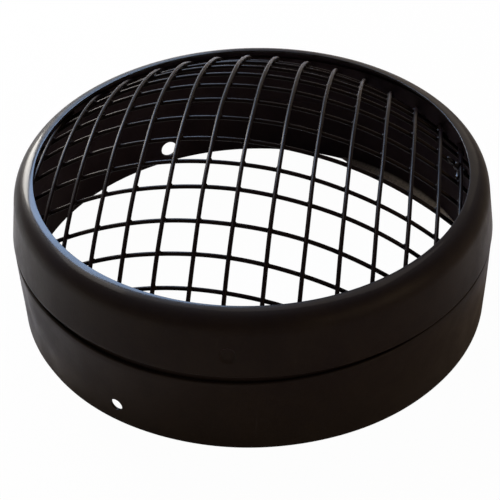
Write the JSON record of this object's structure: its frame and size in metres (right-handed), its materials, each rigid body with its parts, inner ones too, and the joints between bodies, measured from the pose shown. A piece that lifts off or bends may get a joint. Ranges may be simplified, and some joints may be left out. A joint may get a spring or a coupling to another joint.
{
  "type": "headlight grille",
  "caption": "Round black headlamp stone guard: pressed steel rim and skirt rings around a domed net of welded round wires.",
  "frame": {"origin": "centre of the skirt's foot circle, on the plane that the foot stands on", "axes": "+Z is the rings' axis, from the foot out through the net; the picture looks along +Y, with +X to the right"},
  "size_m": [0.19, 0.19, 0.0848],
  "materials": {
    "ring_paint": "satin black paint",
    "wire_paint": "satin black paint"
  },
  "bodies": {
    "root": {"rim_ring": "ring_paint", "skirt_ring": "ring_paint", "wire_long_01": "wire_paint", "wire_long_02": "wire_paint", "wire_long_03": "wire_paint", "wire_long_04": "wire_paint", "wire_long_05": "wire_paint", "wire_long_06": "wire_paint", "wire_long_07": "wire_paint", "wire_long_08": "wire_paint", "wire_long_09": "wire_paint", "wire_long_10": "wire_paint", "wire_long_11": "wire_paint", "wire_long_12": "wire_paint", "wire_long_13": "wire_paint", "wire_long_14": "wire_paint", "wire_long_15": "wire_paint", "wire_cross_01": "wire_paint", "wire_cross_02": "wire_paint", "wire_cross_03": "wire_paint", "wire_cross_04": "wire_paint", "wire_cross_05": "wire_paint", "wire_cross_06": "wire_paint", "wire_cross_07": "wire_paint", "wire_cross_08": "wire_paint", "wire_cross_09": "wire_paint", "wire_cross_10": "wire_paint", "wire_cross_11": "wire_paint", "wire_cross_12": "wire_paint", "wire_cross_13": "wire_paint", "wire_cross_14": "wire_paint"}
  },
  "joints": []
}
